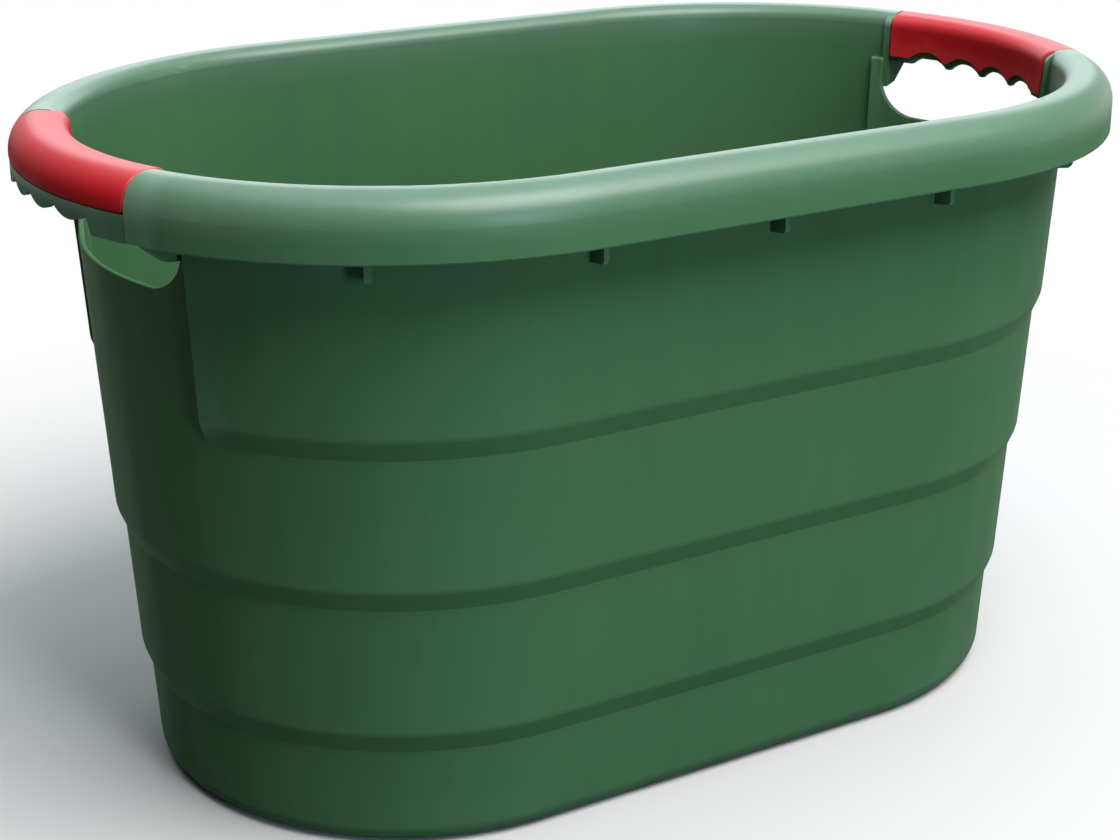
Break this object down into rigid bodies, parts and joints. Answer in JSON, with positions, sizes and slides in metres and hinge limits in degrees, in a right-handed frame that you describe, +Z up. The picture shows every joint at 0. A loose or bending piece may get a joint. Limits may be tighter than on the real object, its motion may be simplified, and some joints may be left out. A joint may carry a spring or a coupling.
{
  "type": "garden basket",
  "caption": "Long oval moulded garden tub with a rolled rim, stepped tapering walls and hand-holes under clip-on grip covers, for carrying harvest and cuttings.",
  "frame": {"origin": "middle of the foot ring's resting plane, on the ground", "axes": "+X along the length towards the right grip, +Y across the width, +Z up"},
  "size_m": [0.674, 0.432, 0.384],
  "materials": {
    "green_plastic": "satin moulded",
    "red_plastic": "satin moulded"
  },
  "bodies": {
    "root": {"tub": "green_plastic", "grip_left": "red_plastic", "grip_right": "red_plastic"}
  },
  "joints": []
}
